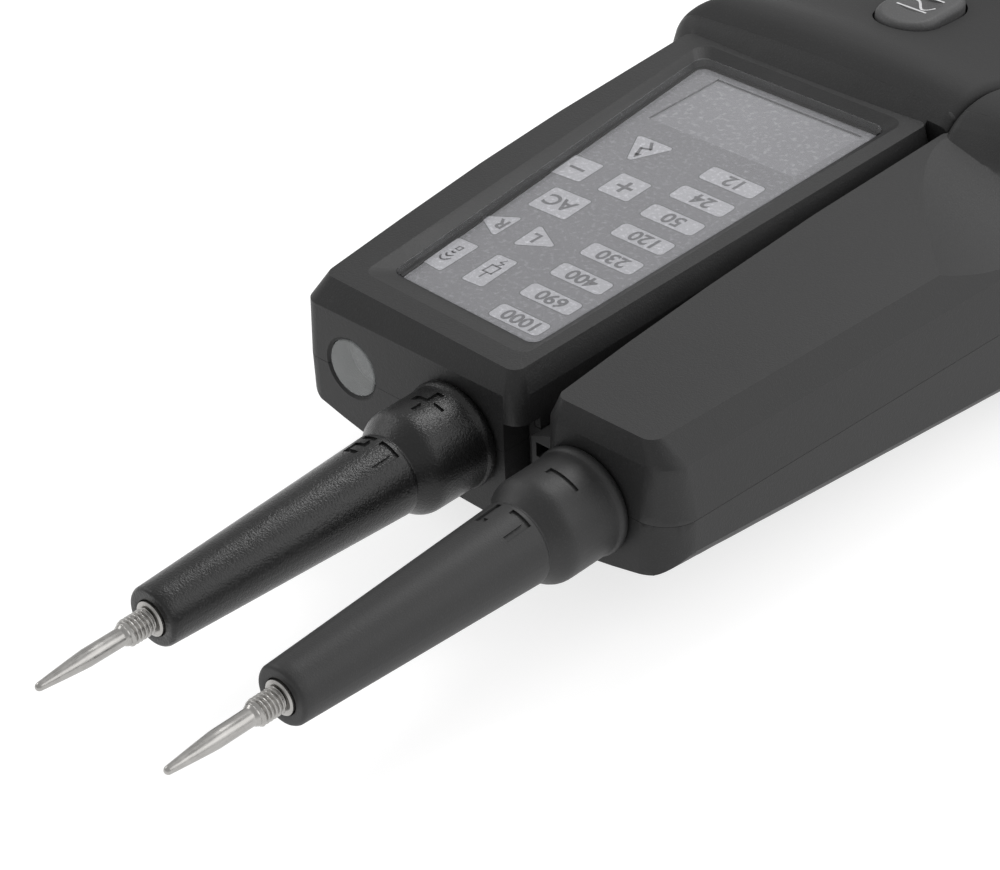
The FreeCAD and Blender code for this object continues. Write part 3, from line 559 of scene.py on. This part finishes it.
def sleeve(xc, name, node, body, mat, word, mark):
    prof = [(20.0, 2.02), (14.72, 2.04), (14.56, 2.1), (14.5, 2.24), (14.5, 2.6), (14.5, 2.98), (14.53, 3.12), (14.62, 3.25), (14.77, 3.35), (14.95, 3.42)]
    prof += [(14.95 + 32.35 * k / 30, 3.42 + (4.81 - 3.42) * k / 30) for k in range(1, 31)]
    prof += [(47.55, 4.815), (47.72, 4.79), (47.84, 4.73), (47.92, 4.64), (48.0, 4.6), (48.1, 4.62), (48.22, 4.70), (48.5, 4.86), (48.9, 5.12), (49.35, 5.45),
             (49.8, 5.76), (50.2, 5.96), (50.6, 6.07), (51.0, 6.12), (51.5, 6.13), (52.5, 6.13), (53.5, 6.13), (54.5, 6.13), (55.5, 6.13), (56.4, 6.13), (56.9, 6.15), (57.1, 6.2), (57.25, 6.3),
             (57.45, 6.37), (57.7, 6.4), (57.95, 6.37), (58.12, 6.3), (58.25, 6.2), (58.3, 6.0), (58.32, 3.9), (62.0, 3.85), (62.0, 2.02)]

    def R(y):
        if y < 47.5:
            return 3.42 + (4.81 - 3.42) * (y - 14.95) / 32.35
        return 6.13

    def radius(y, r, t):
        # mould line: a hair of flash along both sides
        if 15 < y < 47.4 or 51 < y < 56.6:
            for c in (math.pi * 0.5, math.pi * 1.5):
                d = abs(t - c)
                if d < 0.034:
                    return r + 0.018
        return r
    v, f = revolve(prof, xc, 0.0, 128, radius)
    ob = piece(name, v, f, mat, body, (node,), sharp=50)
    # engraved marks: outlines read from the grip end
    cut_v, cut_f = [], []

    def wrap(poly_v, poly_f, th0, y0, depth):
        o = len(cut_v)
        for u, vv, w in poly_v:
            y = y0 - vv
            r = R(y) + (0.15 if w > 0 else -depth)
            th = th0 + u / R(y)
            cut_v.append(W(xc - r * math.sin(th), y, r * math.cos(th)))
        cut_f.extend([tuple(o + i for i in q) for q in poly_f])

    def box(u0, u1, v0, v1, n=10):
        vs, fs = [], []
        for w in (-1, 1):
            for i in range(n + 1):
                u = u0 + (u1 - u0) * i / n
                vs += [(u, v0, w), (u, v1, w)]
        m = 2 * (n + 1)
        for i in range(n):
            a = 2 * i
            fs.append((a, a + 1, a + 3, a + 2))
            fs.append((m + a, m + a + 2, m + a + 3, m + a + 1))
            fs.append((a, a + 2, m + a + 2, m + a))
            fs.append((a + 1, m + a + 1, m + a + 3, a + 3))
        fs.append((0, m, m + 1, 1))
        fs.append((2 * n, 2 * n + 1, m + 2 * n + 1, m + 2 * n))
        return vs, fs
    w = 0.62
    for a, b, c, d in word:
        vs, fs = box(a, b, c, d)
        wrap(vs, fs, 0.0, 47.25, 0.26)
    for a, b, c, d in mark:
        vs, fs = box(a, b, c, d)
        wrap(vs, fs, 0.0, 53.4, 0.26)
    me = D.meshes.new(name + "_cut")
    me.from_pydata([tuple(q) for q in cut_v], [], cut_f)
    me.validate()
    bm = bmesh.new()
    bm.from_mesh(me)
    bmesh.ops.recalc_face_normals(bm, faces=bm.faces[:])
    bm.to_mesh(me)
    bm.free()
    cutter = D.objects.new(name + "_cut", me)
    SC.collection.objects.link(cutter)
    md = ob.modifiers.new("marks", "BOOLEAN")
    md.operation = "DIFFERENCE"
    md.solver = "EXACT"
    md.use_self = True
    md.object = cutter
    bpy.context.view_layer.update()
    done = D.meshes.new_from_object(ob.evaluated_get(bpy.context.evaluated_depsgraph_get()))
    ob.modifiers.remove(md)
    old = ob.data
    ob.data = done
    done.name = name
    for q in done.polygons:
        q.use_smooth = True
    done.set_sharp_from_angle(angle=math.radians(40))
    D.objects.remove(cutter)
    D.meshes.remove(me)
    D.meshes.remove(old)
    return ob


# strokes as (u0, u1, v0, v1): u runs to the reader's right, v up
LETTER_L = [(-3.0, -2.3, 0.0, 3.5), (-2.5, -0.35, 0.0, 0.7)]
ONE = [(1.25, 1.95, 0.0, 3.5), (0.55, 1.35, 2.75, 3.35)]
TWO = [(0.35, 2.35, 0.0, 0.62), (0.35, 1.0, 0.5, 1.95), (0.35, 2.35, 1.45, 2.05), (1.7, 2.35, 1.9, 3.5), (0.35, 1.9, 2.9, 3.5)]
MINUS = [(-3.6, 0.5, -0.48, 0.48)]
PLUS = [(-2.3, 1.9, -1.35, -0.35), (-0.7, 0.3, -2.95, 1.25)]

needle(0.0, "main_needle_threaded", "main_probe_tip", "main_handle")
needle(19.0, "second_needle_threaded", "second_probe_tip", "second_handle")
sleeve(0.0, "main_probe_sleeve_engraved", "main_probe_sleeve", "main_handle", M_PROBE1, LETTER_L + TWO, PLUS)
sleeve(19.0, "second_probe_sleeve_engraved", "second_probe_sleeve", "second_handle", M_PROBE2, LETTER_L + ONE, MINUS)

# ------------------------------------------------------------------ torch reflector
TX_, TZ_ = -16.2, 1.3
prof = [(61.75, 3.6), (61.75, 3.1), (62.1, 2.95), (62.6, 2.75), (63.2, 2.62), (64.0, 2.55), (64.0, 2.9), (62.6, 3.3)]
v, f = revolve(prof, TX_, TZ_, 64)
f = f[:-128]
n = len(prof)
f += [((n - 1) * 64 + k, (n - 1) * 64 + (k + 1) % 64, (k + 1) % 64, k) for k in range(64)]
piece("torch_reflector", v, f, M_LED, "main_handle")

# ------------------------------------------------------------------ display legend
Z_BOX, Z_LINE, Z_TEXT = 8.668, 8.674, 8.680
boxes, lines, words = Flat(), Flat(), Flat()


def label(pts, r=0.55):
    q = round_poly(pts, r)
    boxes.poly(q, Z_BOX)
    lines.loop(q, Z_LINE, 0.13)
    return sum(p[0] for p in pts) / len(pts), sum(p[1] for p in pts) / len(pts)


STEPS = ["12", "24", "50", "120", "230", "400", "690", "1000"]
CEN = [(-2.53, 107.81), (-2.40, 102.29), (-2.21, 96.86), (-1.94, 91.41), (-1.74, 85.93), (-1.43, 80.52), (-1.12, 75.16), (-0.81, 69.77)]
for k, (word, (cx, cy)) in enumerate(zip(STEPS, CEN)):
    t = k / 7.0
    hw, hh = (8.35 - 0.75 * t) / 2, (3.55 - 0.45 * t) / 2
    sk = 0.20 - 0.10 * t
    label([(cx - hw, cy + hh - 0.05), (cx + hw - 0.1, cy + hh - sk), (cx + hw, cy - hh + 0.1), (cx - hw + 0.2, cy - hh + sk * 0.5)], 0.7)
    words.text(word, cx + 0.1, cy, Z_TEXT, 3.1 - 0.28 * t, 0.085, 0.94)

cx, cy = label([(-18.6, 109.5), (-12.7, 109.6), (-15.4, 103.5)], 0.5)
words.stroke([(-15.9, 108.9), (-14.95, 107.6), (-16.1, 107.2), (-15.45, 105.6)], Z_TEXT, 0.42)
words.poly([(-15.9, 105.9), (-14.95, 106.1), (-15.3, 104.9)], Z_TEXT)
for body, pts in (("-", [(-21.03, 101.0), (-16.49, 101.2), (-16.19, 96.31), (-20.65, 95.96)]),
                  ("+", [(-13.84, 101.41), (-9.12, 101.38), (-8.86, 96.43), (-13.57, 96.38)]),
                  ("AC", [(-17.61, 93.88), (-11.97, 94.09), (-11.59, 88.71), (-17.38, 88.59)]),
                  ("wave", [(-18.14, 78.13), (-14.93, 78.25), (-14.57, 71.39), (-17.88, 71.7)]),
                  ("pole", [(-12.23, 78.38), (-9.15, 78.56), (-8.6, 71.98), (-11.8, 71.77)])):
    x, y = label(pts, 0.45)
    if body == "-":
        words.stroke([(x - 0.95, y), (x + 0.95, y)], Z_TEXT, 0.5)
    elif body == "+":
        words.stroke([(x - 1.0, y), (x + 1.0, y)], Z_TEXT, 0.5)
        words.stroke([(x, y - 1.15), (x, y + 1.15)], Z_TEXT + 0.002, 0.5)
    elif body == "AC":
        words.text("AC", x, y, Z_TEXT, 3.3, 0.085, 0.9)
    elif body == "wave":
        for q, rad in enumerate((0.55, 1.15, 1.75)):
            arc = [(x + rad * 0.62 * math.sin(a), y + 1.3 - rad * 1.55 * math.cos(a)) for a in [math.radians(-42 + 12 * i) for i in range(8)]]
            words.stroke(arc, Z_TEXT, 0.24)
        words.stroke([(x - 0.3, y + 1.9), (x + 0.3, y + 1.9), (x + 0.3, y + 1.2), (x - 0.3, y + 1.2), (x - 0.3, y + 1.9)], Z_TEXT, 0.2)
    else:
        words.stroke([(x - 0.62, y + 1.1), (x + 0.62, y + 1.1), (x + 0.62, y - 0.5), (x - 0.62, y - 0.5), (x - 0.62, y + 1.1)], Z_TEXT, 0.24)
        words.stroke([(x, y - 0.5), (x, y - 1.7)], Z_TEXT, 0.24)
        words.stroke([(x - 0.1, y + 1.1), (x + 0.35, y + 1.9), (x - 0.25, y + 2.0), (x + 0.1, y + 2.75)], Z_TEXT, 0.22)
x, y = label([(-19.75, 83.27), (-15.52, 86.27), (-15.33, 80.81)], 0.4)
words.text("R", x + 0.25, y, Z_TEXT, 2.7, 0.085, 0.9)
x, y = label([(-12.99, 86.34), (-8.2, 83.68), (-12.55, 80.85)], 0.4)
words.text("L", x - 0.3, y, Z_TEXT, 2.7, 0.085, 0.9)
# ------------------------------------------------------------------ button symbols, printed on the dished caps
def cap_marks(node, body, kind, name):
    lo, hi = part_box(node)
    cx, cy = (lo[0] + hi[0]) / 2, (lo[1] + hi[1]) / 2
    ox, oy = (cx - ORG.x) / MM, (cy - ORG.y) / MM
    sym = Flat()
    if kind == "torch":
        sym.loop(round_poly([(ox - 1.1, oy - 1.2), (ox + 1.1, oy - 1.2), (ox + 0.7, oy + 0.4), (ox - 0.7, oy + 0.4)], 0.2), 0, 0.28)
        sym.loop(round_poly([(ox - 0.55, oy + 0.6), (ox + 0.55, oy + 0.6), (ox + 0.55, oy + 2.4), (ox - 0.55, oy + 2.4)], 0.2), 0, 0.28)
        for a in (-0.9, 0.0, 0.9):
            sym.stroke([(ox + a, oy - 1.7), (ox + a * 1.5, oy - 2.6)], 0, 0.26)
    else:
        arc = [(ox - 2.2 + 4.4 * i / 20, oy + 0.9 * math.sin(2 * math.pi * i / 20)) for i in range(21)]
        sym.stroke(arc, 0, 0.34)
        sym.stroke([(ox - 2.2, oy - 1.9), (ox + 2.2, oy - 1.9)], 0, 0.3)
        sym.stroke([(ox - 2.2, oy + 1.9), (ox + 2.2, oy + 1.9)], 0, 0.3)
    ob = NODES[node]
    out = []
    dg = bpy.context.evaluated_depsgraph_get()
    inv = ob.matrix_world.inverted()
    for x, y, z in sym.v:
        p = W(x, y, 0)
        p.z = hi[2] + 0.001
        hit, loc, nor, idx = ob.ray_cast(inv @ p, inv.to_3x3() @ Vector((0, 0, -1)))
        q = ob.matrix_world @ loc if hit else Vector((p.x, p.y, hi[2]))
        q.z += 0.00003
        out.append(q)
    piece(name, out, sym.f, M_LABEL, body)


cap_marks("main_load_button", "main_load_button", "load", "main_load_symbol")
cap_marks("second_load_button", "second_load_button", "load", "second_load_symbol")
cap_marks("torch_button", "torch_button", "torch", "torch_symbol")
boxes.make("legend_boxes", M_LABEL, "main_handle", "film")
lines.make("legend_outlines", M_LINE, "main_handle", "film")
words.make("legend_marks", M_PRINT, "main_handle", "film")

# ------------------------------------------------------------------ stage
def stage():
    me = D.meshes.new("floor")
    s = 6.0
    me.from_pydata([(-s, -s, 0), (s, -s, 0), (s, s, 0), (-s, s, 0)], [], [(0, 1, 2, 3)])
    ob = D.objects.new("floor", me)
    SC.collection.objects.link(ob)
    m = Mat("floor_white")
    n = m.noise(3.0, 2.0, 0.5)
    m.link(m.mix(n, (0.42, 0.42, 0.42, 1), (0.45, 0.45, 0.45, 1)), m.b.inputs["Base Color"])
    m.b.inputs["Roughness"].default_value = 0.9
    m.b.inputs["Specular IOR Level"].default_value = 0.1
    m.b.inputs["Emission Color"].default_value = (1, 1, 1, 1)
    m.b.inputs["Emission Strength"].default_value = 0.72
    me.materials.append(m.m)
    w = D.worlds.new("studio")
    SC.world = w
    w.use_nodes = True
    bg = w.node_tree.nodes["Background"]
    bg.inputs[0].default_value = (1, 1, 1, 1)
    bg.inputs[1].default_value = 0.66


def area(name, loc, target, size, power, sy=None):
    li = D.lights.new(name, "AREA")
    li.shape = "RECTANGLE"
    li.size = size
    li.size_y = sy or size
    li.energy = power
    ob = D.objects.new(name, li)
    SC.collection.objects.link(ob)
    ob.location = loc
    d = (Vector(target) - Vector(loc)).normalized()
    ob.rotation_euler = d.to_track_quat("-Z", "Y").to_euler()
    return ob


stage()
area("key", (-0.10, 0.42, 0.62), (0, -0.05, 0), 0.30, 2.0, 0.20)
area("left", (-0.55, -0.20, 0.42), (0, -0.06, 0), 0.35, 0.7, 0.20)
area("right", (0.52, 0.40, 0.42), (0, -0.02, 0), 0.90, 2.6, 0.62)
SC.view_settings.view_transform = "Standard"
